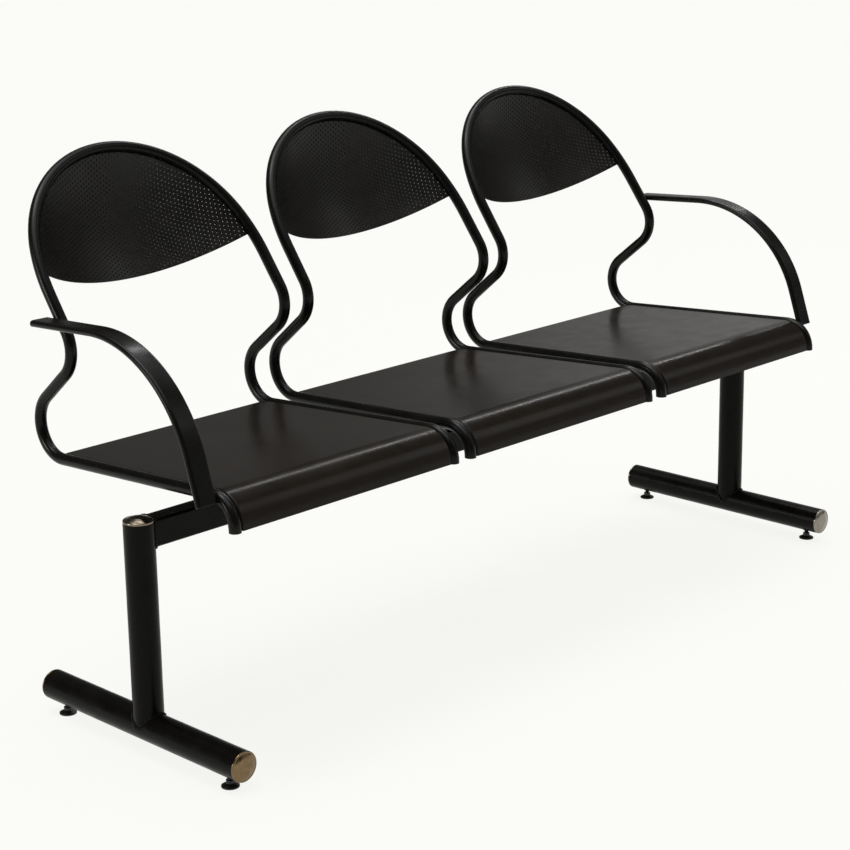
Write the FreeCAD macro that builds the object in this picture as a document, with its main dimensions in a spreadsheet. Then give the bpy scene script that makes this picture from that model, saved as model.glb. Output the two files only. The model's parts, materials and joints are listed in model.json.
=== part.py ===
import FreeCAD, Part

import math
import os

import Sketcher

# Three-seat beam bench with hooped tube backs, in millimetres.
# X runs along the bench, the sitters face -Y, Z is up.
# The origin is on the floor, under the middle of the whole bench.

os.makedirs("parts", exist_ok=True)
doc = FreeCAD.newDocument("WaitingRoomBench")
size = doc.addObject("Spreadsheet::Sheet", "Size")

driving_sizes = (
    # Layout of the seats and legs
    ("seat_pitch", 500.0),
    ("post_spacing", 1510.0),
    # Bent tube of one seat: the hoop leans back, two bends lead down to the seat rails
    ("frame_diameter", 19.0),
    ("frame_wall", 1.5),
    ("hoop_base_half_width", 222.5),
    ("hoop_base_reach", 198.4),
    ("hoop_base_height", 627.7),
    ("hoop_side_run", 65.0),
    ("hoop_shoulder_radius", 294.0),
    ("hoop_top_inset", 3.3),
    ("back_lean_angle", 35.8),
    ("rail_toe_angle", 1.08),
    ("lumbar_bend_radius", 52.3),
    ("lumbar_slope_angle", 50.6),
    ("lumbar_run", 72.2),
    ("rear_bend_radius", 53.5),
    ("seat_rise_angle", 3.34),
    ("front_bend_radius", 45.0),
    ("front_drop", 1.5),
    ("rail_front_reach", 192.5),
    # Plastic plug in each open end of the bent tube
    ("plug_flange", 1.2),
    ("plug_depth", 6.0),
    ("plug_fit", 0.4),
    # Seat pan: a shallow sheet steel tray between the rails
    ("pan_sheet", 1.2),
    ("pan_sink", 3.0),
    ("pan_depth", 9.0),
    ("pan_edge_radius", 2.5),
    ("pan_rear_reach", 8.0),
    ("weld_fit", 0.05),
    # Dished back panel
    ("panel_sheet", 1.2),
    ("panel_dish_depth", 82.0),
    ("panel_lower_edge", 105.5),
    ("panel_edge_angle", 5.6),
    # Two cross bars under each pan
    ("bar_width", 25.0),
    ("bar_height", 12.0),
    ("bar_wall", 1.5),
    ("front_bar_reach", 95.0),
    ("rear_bar_reach", 115.0),
    # Folded channel that carries each seat on the beam
    ("carrier_width", 90.0),
    ("carrier_height", 49.7),
    ("carrier_sheet", 3.0),
    ("carrier_bolt_spacing", 44.0),
    # Cross beam
    ("beam_depth", 36.0),
    ("beam_height", 44.0),
    ("beam_wall", 2.5),
    ("beam_corner_radius", 4.0),
    # Posts, foot tubes and their chrome caps
    ("leg_diameter", 48.3),
    ("leg_wall", 2.0),
    ("post_top_drop", 1.9),
    ("foot_axis_height", 41.2),
    ("foot_front_length", 218.9),
    ("foot_rear_length", 241.6),
    ("cap_rim", 3.0),
    ("cap_dome", 3.0),
    ("post_cap_rim", 4.0),
    ("post_cap_dome", 5.0),
    ("cap_spigot_depth", 14.0),
    ("cap_spigot_wall", 2.0),
    ("cap_fit", 0.1),
    # Screw levellers
    ("front_leveller_reach", 187.7),
    ("rear_leveller_reach", 210.6),
    ("insert_diameter", 14.0),
    ("insert_length", 16.0),
    ("insert_fit", 0.05),
    ("stud_diameter", 8.0),
    ("stud_length", 38.0),
    ("stud_fit", 0.05),
    ("pad_diameter", 28.0),
    ("pad_top_diameter", 13.0),
    ("pad_rim", 2.0),
    ("pad_neck_height", 6.0),
    ("pad_height", 11.0),
    ("pad_floor", 4.0),
    # Armrests: flat oval tube
    ("arm_width", 37.0),
    ("arm_thickness", 10.6),
    ("arm_wall", 1.5),
    ("arm_rear_overhang", 26.6),
    ("arm_rear_rise", 15.5),
    ("arm_rise_angle", 3.1),
    ("arm_bend_radius", 224.0),
    ("arm_bend_angle", 75.2),
    ("arm_front_setback", 28.6),
    ("arm_front_drop", 7.2),
    # Bolts, washers and lock nuts that hold the carriers
    ("bolt_diameter", 10.0),
    ("bolt_flats", 17.0),
    ("bolt_head", 6.4),
    ("bolt_spare", 4.0),
    ("bolt_hole_fit", 0.5),
    ("washer_diameter", 20.0),
    ("washer_thickness", 2.0),
    ("nut_height", 10.0),
    ("nut_fit", 0.05),
    # One overrun serves every cut
    ("overrun", 5.0),
)

# The top of the hoop is an arc a little tighter than half the hoop's width
derived_sizes = (
    ("hoop_top_radius", "=hoop_base_half_width - hoop_top_inset"),
)

for row, (alias, content) in enumerate(driving_sizes + derived_sizes, start=1):
    size.set(f"A{row}", alias)
    size.set(f"B{row}", str(content))
    size.setAlias(f"B{row}", alias)
doc.recompute()


# Small helpers

def bind(thing, **formulas):
    for name, formula in formulas.items():
        thing.setExpression(name, formula)
    return thing


def vector(x, y, z):
    return FreeCAD.Vector(x, y, z)


def turned(axis, angle):
    return FreeCAD.Rotation(axis, angle)


def placed(position, rotation=FreeCAD.Rotation()):
    return FreeCAD.Placement(position, rotation)


X_AXIS = vector(1, 0, 0)
Z_AXIS = vector(0, 0, 1)


def sine(angle):
    return math.sin(math.radians(angle))


def cosine(angle):
    return math.cos(math.radians(angle))


def heading_vector(angle):
    return vector(cosine(angle), sine(angle), 0)


# Path of straight runs and tangent bends, walked in one plane from one end

class PlanePath:
    def __init__(self, start, heading):
        self.point = start
        self.heading = heading
        self.pieces = []

    def run(self, length):
        end = self.point + heading_vector(self.heading) * length
        self.pieces.append((self.point, end))
        self.point = end

    def bend(self, radius, turn):
        side = math.copysign(1, turn)
        centre = self.point + heading_vector(self.heading + 90 * side) * radius
        spoke = self.heading - 90 * side
        middle = centre + heading_vector(spoke + turn / 2) * radius
        end = centre + heading_vector(spoke + turn) * radius
        self.pieces.append((self.point, middle, end))
        self.point = end
        self.heading += turn


def edges_of(pieces, place):
    edges = []
    for piece in pieces:
        points = [place(point) for point in piece]
        curve = Part.LineSegment(*points) if len(points) == 2 else Part.Arc(*points)
        edges.append(curve.toShape())
    return edges


def reversed_pieces(pieces):
    return [tuple(reversed(piece)) for piece in reversed(pieces)]


def path_object(name, edges):
    path = doc.addObject("Part::Feature", name)
    path.Shape = Part.Wire(edges)
    return path


def sweep(name, profile, path):
    body = doc.addObject("Part::Sweep", name)
    body.Sections = [profile]
    body.Spine = (path, [f"Edge{number + 1}" for number in range(len(path.Shape.Edges))])
    body.Solid = True
    body.Frenet = False
    return body


def difference(name, base, tool):
    cut = doc.addObject("Part::Cut", name)
    cut.Base = base
    cut.Tool = tool
    return cut


def overlap(name, first, second):
    common = doc.addObject("Part::Common", name)
    common.Base = first
    common.Tool = second
    return common


def cylinder(name, radius, height):
    return bind(doc.addObject("Part::Cylinder", name), Radius=radius, Height=height)


def box(name, length, width, height):
    return bind(doc.addObject("Part::Box", name), Length=length, Width=width, Height=height)


# Sketches on the origin planes of a body, every corner held by two formulas

def origin_plane(body, role):
    return next(item for item in body.Origin.OriginFeatures if item.Role == role)


def new_sketch(body, name, role):
    sketch = body.newObject("Sketcher::SketchObject", name)
    sketch.AttachmentSupport = (origin_plane(body, role), "")
    sketch.MapMode = "FlatFace"
    return sketch


def formula_value(sketch, formula):
    return float(sketch.evalExpression(formula))


def hold(sketch, kind, geometry, vertex, formula):
    number = formula_value(sketch, formula)
    if abs(number) < 1e-9:
        axis = -2 if kind == "DistanceX" else -1
        sketch.addConstraint(Sketcher.Constraint("PointOnObject", geometry, vertex, axis))
        return
    rule = Sketcher.Constraint(kind, -1, 1, geometry, vertex, number)
    index = sketch.addConstraint(rule)
    sketch.setExpression(f"Constraints[{index}]", formula)


def outline(sketch, corners):
    first = sketch.GeometryCount
    points = [vector(formula_value(sketch, a), formula_value(sketch, b), 0) for a, b in corners]
    for index, point in enumerate(points):
        sketch.addGeometry(Part.LineSegment(point, points[(index + 1) % len(points)]), False)
    for index in range(len(points)):
        after = (index + 1) % len(points)
        sketch.addConstraint(Sketcher.Constraint("Coincident", first + index, 2, first + after, 1))
    for index, (across, along) in enumerate(corners):
        hold(sketch, "DistanceX", first + index, 1, across)
        hold(sketch, "DistanceY", first + index, 1, along)


def circle(sketch, radius, across="0", along="0"):
    centre = vector(formula_value(sketch, across), formula_value(sketch, along), 0)
    index = sketch.addGeometry(Part.Circle(centre, Z_AXIS, formula_value(sketch, radius)), False)
    rule = sketch.addConstraint(Sketcher.Constraint("Radius", index, formula_value(sketch, radius)))
    sketch.setExpression(f"Constraints[{rule}]", radius)
    hold(sketch, "DistanceX", index, 3, across)
    hold(sketch, "DistanceY", index, 3, along)


def hexagon(sketch, flats):
    corner = f"({flats}) / sqrt(3)"
    half_corner = f"({flats}) / sqrt(12)"
    half = f"({flats}) / 2"
    outline(sketch, (
        (corner, "0"), (half_corner, half), (f"-{half_corner}", half),
        (f"-{corner}", "0"), (f"-{half_corner}", f"-{half}"), (half_corner, f"-{half}")))


def pad(body, sketch, name, length, midplane=False, backwards=False):
    feature = body.newObject("PartDesign::Pad", name)
    feature.Profile = sketch
    feature.Midplane = midplane
    feature.Reversed = backwards
    return bind(feature, Length=length)


def pocket_through(body, sketch, name):
    feature = body.newObject("PartDesign::Pocket", name)
    feature.Profile = sketch
    feature.Type = 1
    feature.Midplane = True
    return feature


def turned_piece(name, corners):
    # The outline is drawn on the XZ plane and turned once about the vertical axis
    body = doc.addObject("PartDesign::Body", name)
    sketch = new_sketch(body, f"{name}_outline", "XZ_Plane")
    outline(sketch, corners)
    feature = body.newObject("PartDesign::Revolution", f"{name}_turned")
    feature.Profile = sketch
    feature.ReferenceAxis = (sketch, ["V_Axis"])
    feature.Angle = 360
    return body


sub_parts = {}


def keep(label, thing, placement=None):
    thing.Label = label
    if placement is not None:
        thing.Placement = placement
    sub_parts[label] = thing
    return thing


def keep_group(label, pieces):
    group = doc.addObject("Part::Compound", label)
    group.Links = pieces
    return keep(label, group)


# Places worked out from the sizes

frame_radius = size.frame_diameter / 2
leg_radius = size.leg_diameter / 2
lean = size.back_lean_angle
toe = size.rail_toe_angle
rise = size.seat_rise_angle

# The tube's lean in its own toed-in plane, and how much the hoop's sides close in
lean_in_rail_plane = math.degrees(math.atan(math.tan(math.radians(lean)) / cosine(toe)))
side_closing = math.degrees(math.asin(sine(toe) * sine(lean_in_rail_plane)))

radius_drop = size.hoop_shoulder_radius - size.hoop_top_radius
shoulder_inset = (size.hoop_shoulder_radius * cosine(side_closing) - size.hoop_base_half_width
                  + size.hoop_side_run * sine(side_closing))
top_arc_start = math.degrees(math.acos(shoulder_inset / radius_drop))
hoop_centre_rise = (size.hoop_side_run * cosine(side_closing)
                    - size.hoop_shoulder_radius * sine(side_closing)
                    + radius_drop * sine(top_arc_start))

hoop_rear_reach = (size.hoop_base_reach + frame_radius
                   + (hoop_centre_rise + size.hoop_top_radius) * sine(lean))
foot_cap_reach = size.cap_rim + size.cap_dome
front_reach = max(size.foot_front_length + foot_cap_reach, size.rail_front_reach + frame_radius)
rear_reach = max(hoop_rear_reach, size.foot_rear_length + foot_cap_reach)
post_place = (front_reach - rear_reach) / 2

chairs = (("left", -size.seat_pitch), ("middle", 0.0), ("right", size.seat_pitch))
ends = (("left", -1), ("right", 1))


def from_post(x, behind, up):
    return vector(x, post_place + behind, up)


# Rail side of the bent tube, from the hoop's base down to the open front end

def rail_path():
    path = PlanePath(vector(0, 0, 0), -(90 + lean_in_rail_plane))
    path.bend(size.lumbar_bend_radius, lean_in_rail_plane + size.lumbar_slope_angle)
    path.run(size.lumbar_run)
    path.bend(size.rear_bend_radius, -(90 + rise + size.lumbar_slope_angle))
    path.seat_start = path.point
    front_end = -(size.hoop_base_reach + size.rail_front_reach) / cosine(toe)
    bend_reach = size.front_bend_radius * (1 + sine(rise))
    path.run((path.point.x - bend_reach - front_end) / cosine(rise))
    path.bend(size.front_bend_radius, 90 + rise)
    path.run(size.front_drop)
    return path


rail = rail_path()
rail_end_height = size.hoop_base_height + rail.point.y


def on_rail_plane(side, outward=0.0):
    # Maps a point of a rail's own plane into the seat, on the side given as -1 or 1
    def place(point):
        across = size.hoop_base_half_width - point.x * sine(toe) + outward * cosine(toe)
        behind = size.hoop_base_reach + point.x * cosine(toe) + outward * sine(toe)
        return from_post(side * across, behind, size.hoop_base_height + point.y)
    return place


def in_hoop_plane(point):
    behind = size.hoop_base_reach + point.y * sine(lean)
    return from_post(point.x, behind, size.hoop_base_height + point.y * cosine(lean))


def mirrored(point):
    return vector(-point.x, point.y, point.z)


def frame_edges():
    side = PlanePath(vector(size.hoop_base_half_width, 0, 0), 90 + side_closing)
    side.run(size.hoop_side_run)
    side.bend(size.hoop_shoulder_radius, top_arc_start - side_closing)
    crown = vector(0, hoop_centre_rise + size.hoop_top_radius, 0)
    top = [(side.point, crown, mirrored(side.point))]
    edges = edges_of(reversed_pieces(rail.pieces), on_rail_plane(1))
    edges += edges_of(side.pieces + top, in_hoop_plane)
    edges += edges_of(reversed_pieces(side.pieces), lambda point: in_hoop_plane(mirrored(point)))
    edges += edges_of(rail.pieces, on_rail_plane(-1))
    return edges


def tube_section(name, radius):
    section = bind(doc.addObject("Part::Circle", name), Radius=radius)
    section.Placement = placed(on_rail_plane(1)(rail.point))
    return section


def seat_frame(side):
    path = path_object(f"{side}_frame_path", frame_edges())
    outer_section = tube_section(f"{side}_frame_outer_circle", "Size.frame_diameter / 2")
    inner_section = tube_section(f"{side}_frame_bore_circle",
                                 "Size.frame_diameter / 2 - Size.frame_wall")
    outer = sweep(f"{side}_frame_outside", outer_section, path)
    bore = sweep(f"{side}_frame_bore", inner_section, path)
    return difference(f"{side}_frame_tube", outer, bore), outer


# Seat pan: bands between two curves that follow the rails, cut to the space between them

seat_point = rail.seat_start
bend_centre_along = (-(size.hoop_base_reach + size.rail_front_reach) / cosine(toe)
                     + size.front_bend_radius)
bend_centre_up = rail.point.y + size.front_drop


def seat_height(behind, offset):
    # Height of a line beside the rail's centre line, at a place behind the post axis
    along = (behind - size.hoop_base_reach) / cosine(toe) - seat_point.x
    base = size.hoop_base_height + seat_point.y - along * math.tan(math.radians(rise))
    return base + offset / cosine(rise)


def seat_curve(offset, rear_gap, front_gap):
    radius = size.front_bend_radius + offset
    rear_along = seat_point.x + size.pan_rear_reach - rear_gap
    rear_up = seat_point.y - (size.pan_rear_reach - rear_gap) * math.tan(math.radians(rise))
    rear = vector(rear_along + offset * sine(rise), rear_up + offset * cosine(rise), 0)
    centre = vector(bend_centre_along, bend_centre_up, 0)
    start = centre + heading_vector(90 - rise) * radius
    middle = centre + heading_vector(135 - rise / 2) * radius
    finish = centre + heading_vector(180) * radius
    bottom = finish - vector(0, size.front_drop - front_gap, 0)
    return [(rear, start), (start, middle, finish), (finish, bottom)]


def pan_band(top_offset, low_offset, rear_gap, front_gap):
    half_width = size.hoop_base_half_width + size.seat_pitch / 2

    def place(point):
        behind = size.hoop_base_reach + point.x * cosine(toe)
        return from_post(-half_width, behind, size.hoop_base_height + point.y)

    upper = seat_curve(top_offset, rear_gap, front_gap)
    lower = seat_curve(low_offset, rear_gap, front_gap)
    front = [(upper[-1][-1], lower[-1][-1])]
    rear = [(lower[0][0], upper[0][0])]
    edges = edges_of(upper + front + reversed_pieces(lower) + rear, place)
    return Part.Face(Part.Wire(edges)).extrude(vector(2 * half_width, 0, 0))


def rail_inner_half_width(behind, inset):
    # Half the clear width between the rails, at a place behind the post axis
    centre = size.hoop_base_half_width + (size.hoop_base_reach - behind) * math.tan(math.radians(toe))
    return centre - (frame_radius + size.weld_fit + inset) / cosine(toe)


def between_rails(inset):
    reach = size.seat_pitch
    corners = []
    for side, behind in ((-1, -reach), (1, -reach), (1, reach), (-1, reach)):
        corners.append(from_post(side * rail_inner_half_width(behind, inset), behind, 0))
    wire = Part.makePolygon(corners + corners[:1])
    return Part.Face(wire).extrude(vector(0, 0, size.hoop_base_height))


def pan_shape():
    top = frame_radius - size.pan_sink
    bottom = top - size.pan_depth
    outside = pan_band(top, bottom, 0, 0).common(between_rails(0))
    hollow = pan_band(top - size.pan_sheet, bottom - size.overrun, size.pan_sheet, size.pan_sheet)
    hollow = hollow.common(between_rails(size.pan_sheet))

    def on_top_side(edge):
        middle = edge.valueAt((edge.FirstParameter + edge.LastParameter) / 2)
        behind = middle.y - post_place
        at_side = abs(abs(middle.x) - rail_inner_half_width(behind, 0)) < size.weld_fit
        on_flat = abs(middle.z - seat_height(behind, top)) < size.weld_fit
        from_bend = middle - from_post(middle.x, size.hoop_base_reach + bend_centre_along * cosine(toe),
                                       size.hoop_base_height + bend_centre_up)
        on_bend = abs(from_bend.Length - size.front_bend_radius - top) < size.weld_fit
        return at_side and (on_flat or on_bend)

    rounded = [edge for edge in outside.Edges if on_top_side(edge)]
    outside = outside.makeFillet(size.pan_edge_radius, rounded)
    return outside.cut(hollow)


def seat_pan(side):
    pan = doc.addObject("Part::Feature", f"{side}_pan_tray")
    pan.Shape = pan_shape()
    return pan


# Back panel: part of a thin sphere, trimmed by the hoop and by a slanted lower edge

def back_panel(side, frame_outside):
    radius = "(Size.hoop_top_radius ^ 2 + Size.panel_dish_depth ^ 2) / (2 * Size.panel_dish_depth)"
    outer = bind(doc.addObject("Part::Sphere", f"{side}_dish_outside"),
                 Radius=f"{radius} + Size.panel_sheet")
    inner = bind(doc.addObject("Part::Sphere", f"{side}_dish_inside"), Radius=radius)
    dish_radius = ((size.hoop_top_radius ** 2 + size.panel_dish_depth ** 2)
                   / (2 * size.panel_dish_depth))
    hoop_place = placed(from_post(0, size.hoop_base_reach, size.hoop_base_height),
                        turned(X_AXIS, -lean))
    centre = placed(vector(0, size.panel_dish_depth - dish_radius, hoop_centre_rise))
    outer.Placement = hoop_place * centre
    inner.Placement = hoop_place * centre
    shell = difference(f"{side}_dish_shell", outer, inner)
    span = "4 * Size.hoop_top_radius"
    depth = "Size.panel_dish_depth + Size.overrun"
    corner = placed(vector(-2 * size.hoop_top_radius, 0, 0))
    window = box(f"{side}_dish_window", span, depth, "3 * Size.hoop_top_radius")
    window.Placement = hoop_place * corner
    below = box(f"{side}_dish_below", span, "Size.panel_dish_depth + 3 * Size.overrun",
                "2 * Size.hoop_top_radius")
    edge = placed(vector(0, 0, size.panel_lower_edge), turned(X_AXIS, -size.panel_edge_angle))
    under_edge = placed(vector(0, -size.overrun, -2 * size.hoop_top_radius))
    below.Placement = hoop_place * edge * under_edge * corner
    behind_hoop = overlap(f"{side}_dish_behind_hoop", shell, window)
    dish = difference(f"{side}_dish_above_edge", behind_hoop, below)
    return difference(f"{side}_dish", dish, frame_outside)


# Cross bars: rectangular tubes pressed up under the pan, between its side flanges

bar_top_offset = frame_radius - size.pan_sink - size.pan_sheet
bar_underside_height = seat_height(0, bar_top_offset - size.bar_height)


def cross_bar(name, reach):
    behind = post_place + reach
    narrow = reach + size.bar_width / 2
    length = 2 * (rail_inner_half_width(narrow, size.pan_sheet + size.weld_fit))
    outer = box(f"{name}_outside", str(length), "Size.bar_width", "Size.bar_height")
    bore = box(f"{name}_bore", f"{length} + 2 * Size.overrun", "Size.bar_width - 2 * Size.bar_wall",
               "Size.bar_height - 2 * Size.bar_wall")
    top = vector(0, behind, seat_height(reach, bar_top_offset))
    seat = placed(top, turned(X_AXIS, -rise))
    outer.Placement = seat * placed(vector(-length / 2, -size.bar_width / 2, -size.bar_height))
    bore.Placement = seat * placed(vector(-length / 2 - size.overrun,
                                          size.bar_wall - size.bar_width / 2,
                                          size.bar_wall - size.bar_height))
    return difference(f"{name}_tube", outer, bore)


# Seat carrier: a channel that stands on the beam, its two webs reaching up to the bars

beam_top_height = bar_underside_height - size.carrier_height
beam_bottom_height = beam_top_height - size.beam_height
post_top_height = beam_top_height - size.post_top_drop


def bolt_places():
    return [vector(side * size.carrier_bolt_spacing / 2, post_place, 0) for side in (-1, 1)]


def seat_carrier(side):
    name = f"{side}_carrier"
    length = "(Size.front_bar_reach + Size.rear_bar_reach + Size.bar_width)"
    tall = str(size.hoop_base_height - beam_top_height)
    outer = box(f"{name}_outside", "Size.carrier_width", length, tall)
    inner = box(f"{name}_inside", "Size.carrier_width - 2 * Size.carrier_sheet",
                f"{length} + 2 * Size.overrun", tall)
    front = size.front_bar_reach + size.bar_width / 2
    corner = vector(-size.carrier_width / 2, post_place - front, beam_top_height)
    outer.Placement = placed(corner)
    inner.Placement = placed(corner + vector(size.carrier_sheet, -size.overrun, size.carrier_sheet))
    channel = difference(f"{name}_channel", outer, inner)
    above = box(f"{name}_above", "Size.carrier_width + 2 * Size.overrun",
                "2 * (Size.front_bar_reach + Size.rear_bar_reach + Size.bar_width)", tall)
    reach = size.front_bar_reach + size.rear_bar_reach + size.bar_width
    above.Placement = (placed(vector(0, post_place, bar_underside_height), turned(X_AXIS, -rise))
                       * placed(vector(-size.carrier_width / 2 - size.overrun, -reach, 0)))
    trimmed = difference(f"{name}_trimmed", channel, above)
    holes = []
    for number, place in enumerate(bolt_places()):
        hole = cylinder(f"{name}_hole_{number}", "Size.bolt_diameter / 2 + Size.bolt_hole_fit",
                        "Size.carrier_sheet + 2 * Size.overrun")
        hole.Placement = placed(place + vector(0, 0, beam_top_height - size.overrun))
        holes.append(hole)
    drills = doc.addObject("Part::Compound", f"{name}_holes")
    drills.Links = holes
    return difference(f"{name}_drilled", trimmed, drills)


# Fasteners of the carriers: two bolts through each carrier and the beam, lock nuts below

head_base_height = beam_top_height + size.carrier_sheet + size.washer_thickness
shank_formula = ("Size.carrier_sheet + Size.beam_height + 2 * Size.washer_thickness"
                 " + Size.nut_height + Size.bolt_spare")


def hex_bolt(name):
    body = doc.addObject("PartDesign::Body", f"{name}_body")
    head = new_sketch(body, f"{name}_head_outline", "XY_Plane")
    hexagon(head, "Size.bolt_flats")
    pad(body, head, f"{name}_head", "Size.bolt_head")
    shank = new_sketch(body, f"{name}_shank_circle", "XY_Plane")
    circle(shank, "Size.bolt_diameter / 2")
    pad(body, shank, f"{name}_shank", shank_formula, backwards=True)
    return body


def lock_nut(name):
    body = doc.addObject("PartDesign::Body", f"{name}_body")
    sides = new_sketch(body, f"{name}_outline", "XY_Plane")
    hexagon(sides, "Size.bolt_flats")
    circle(sides, "Size.bolt_diameter / 2 + Size.nut_fit")
    pad(body, sides, f"{name}_block", "Size.nut_height")
    return body


def washer(name):
    outer = cylinder(f"{name}_outside", "Size.washer_diameter / 2", "Size.washer_thickness")
    bore = cylinder(f"{name}_bore", "Size.bolt_diameter / 2 + Size.bolt_hole_fit",
                    "Size.washer_thickness + 2 * Size.overrun")
    bore.Placement = placed(vector(0, 0, -size.overrun))
    return difference(f"{name}_ring", outer, bore)


def build_fasteners():
    bolts, washers, nuts = [], [], []
    for side, offset in chairs:
        for number, place in enumerate(bolt_places()):
            name = f"{side}_{number}"
            spot = place + vector(offset, 0, 0)
            bolt = hex_bolt(f"bolt_{name}")
            bolt.Placement = placed(spot + vector(0, 0, head_base_height))
            bolts.append(bolt)
            upper = washer(f"upper_washer_{name}")
            upper.Placement = placed(spot + vector(0, 0, head_base_height - size.washer_thickness))
            lower = washer(f"lower_washer_{name}")
            lower.Placement = placed(spot + vector(0, 0, beam_bottom_height - size.washer_thickness))
            washers += [upper, lower]
            nut = lock_nut(f"nut_{name}")
            under = beam_bottom_height - size.washer_thickness - size.nut_height
            nut.Placement = placed(spot + vector(0, 0, under))
            nuts.append(nut)
    keep_group("carrier_bolts", bolts)
    keep_group("carrier_washers", washers)
    keep_group("carrier_nuts", nuts)


# Plugs in the open front ends of the bent tubes

def build_frame_plugs():
    bore = "Size.frame_diameter / 2 - Size.frame_wall - Size.plug_fit"
    plugs = []
    for side, offset in chairs:
        for end, sign in ends:
            plug = turned_piece(f"{side}_{end}_plug", (
                ("0", "-Size.plug_flange"), ("Size.frame_diameter / 2", "-Size.plug_flange"),
                ("Size.frame_diameter / 2", "0"), (bore, "0"), (bore, "Size.plug_depth"),
                ("0", "Size.plug_depth")))
            plug.Placement = placed(on_rail_plane(sign)(rail.point) + vector(offset, 0, 0))
            plugs.append(plug)
    keep_group("frame_end_plugs", plugs)


def build_chairs():
    for side, offset in chairs:
        shift = placed(vector(offset, 0, 0))
        frame, frame_outside = seat_frame(side)
        keep(f"{side}_seat_frame", frame, shift)
        keep(f"{side}_seat_pan", seat_pan(side), shift)
        keep(f"{side}_back_panel", back_panel(side, frame_outside), shift)
        keep(f"{side}_front_cross_bar", cross_bar(f"{side}_front_bar", -size.front_bar_reach), shift)
        keep(f"{side}_rear_cross_bar", cross_bar(f"{side}_rear_bar", size.rear_bar_reach), shift)
        keep(f"{side}_seat_carrier", seat_carrier(side), shift)


# Cross beam: a rounded rectangular tube between the posts, its ends coped to them

def rounded_rectangle(sketch, width, tall, radius):
    # Centred on the sketch; the four corners are cut by arcs of the given radius
    half_width = formula_value(sketch, width) / 2
    half_tall = formula_value(sketch, tall) / 2
    round_off = formula_value(sketch, radius)
    inner_x = half_width - round_off
    inner_y = half_tall - round_off
    sides = ((inner_x, -half_tall, -inner_x, -half_tall), (-half_width, -inner_y, -half_width, inner_y),
             (-inner_x, half_tall, inner_x, half_tall), (half_width, inner_y, half_width, -inner_y))
    lines = [sketch.addGeometry(Part.LineSegment(vector(a, b, 0), vector(c, d, 0)), False)
             for a, b, c, d in sides]
    corners = ((-inner_x, -inner_y, 180), (-inner_x, inner_y, 90),
               (inner_x, inner_y, 0), (inner_x, -inner_y, 270))
    arcs = []
    for x, y, start in corners:
        whole = Part.Circle(vector(x, y, 0), Z_AXIS, round_off)
        arcs.append(sketch.addGeometry(
            Part.ArcOfCircle(whole, math.radians(start), math.radians(start + 90)), False))
    for index in range(4):
        after = (index + 1) % 4
        sketch.addConstraint(Sketcher.Constraint("Tangent", lines[index], 2, arcs[index], 2))
        sketch.addConstraint(Sketcher.Constraint("Tangent", arcs[index], 1, lines[after], 1))
    for index in range(1, 4):
        sketch.addConstraint(Sketcher.Constraint("Equal", arcs[0], arcs[index]))
    for index, kind in enumerate(("Horizontal", "Vertical", "Horizontal", "Vertical")):
        sketch.addConstraint(Sketcher.Constraint(kind, lines[index]))
    rules = (("Radius", (arcs[0],), radius), ("DistanceX", (-1, 1, lines[3], 1), f"({width}) / 2"),
             ("DistanceY", (-1, 1, lines[2], 1), f"({tall}) / 2"),
             ("DistanceX", (lines[1], 1, -1, 1), f"({width}) / 2"),
             ("DistanceY", (lines[0], 1, -1, 1), f"({tall}) / 2"))
    for kind, where, formula in rules:
        rule = Sketcher.Constraint(kind, *where, formula_value(sketch, formula))
        sketch.setExpression(f"Constraints[{sketch.addConstraint(rule)}]", formula)


def build_beam():
    body = doc.addObject("PartDesign::Body", "beam_body")
    section = new_sketch(body, "beam_section", "YZ_Plane")
    rounded_rectangle(section, "Size.beam_depth", "Size.beam_height", "Size.beam_corner_radius")
    rounded_rectangle(section, "Size.beam_depth - 2 * Size.beam_wall",
                      "Size.beam_height - 2 * Size.beam_wall",
                      "Size.beam_corner_radius - Size.beam_wall")
    pad(body, section, "beam_tube", "Size.post_spacing", midplane=True)
    doc.recompute()
    holes = new_sketch(body, "beam_bolt_holes", "XY_Plane")
    for factor in (-1, 0, 1):
        for half in (-1, 1):
            circle(holes, "Size.bolt_diameter / 2 + Size.bolt_hole_fit",
                   f"{factor} * Size.seat_pitch + {half} * Size.carrier_bolt_spacing / 2", "0")
    pocket_through(body, holes, "beam_drilled")
    cope = new_sketch(body, "beam_cope_circles", "XY_Plane")
    for half in (-1, 1):
        circle(cope, "Size.leg_diameter / 2 + Size.weld_fit", f"{half} * Size.post_spacing / 2", "0")
    pocket_through(body, cope, "beam_coped")
    middle_height = beam_top_height - size.beam_height / 2
    keep("cross_beam", body, placed(vector(0, post_place, middle_height)))


# Posts stand on the foot tubes, their lower ends coped to the foot's round top

def leg_tube(name, length):
    outer = cylinder(f"{name}_outside", "Size.leg_diameter / 2", length)
    bore = cylinder(f"{name}_bore", "Size.leg_diameter / 2 - Size.leg_wall", length)
    return difference(f"{name}_tube", outer, bore)


def foot_cylinder(name, radius, x):
    whole = cylinder(name, radius, "Size.foot_front_length + Size.foot_rear_length")
    whole.Placement = placed(vector(x, post_place - size.foot_front_length, size.foot_axis_height),
                             turned(X_AXIS, -90))
    return whole


def leveller_places():
    reaches = (("front", -size.front_leveller_reach), ("rear", size.rear_leveller_reach))
    for end, sign in ends:
        for where, reach in reaches:
            place = vector(sign * size.post_spacing / 2, post_place + reach, 0)
            yield f"{end}_{where}", sign, place


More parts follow.
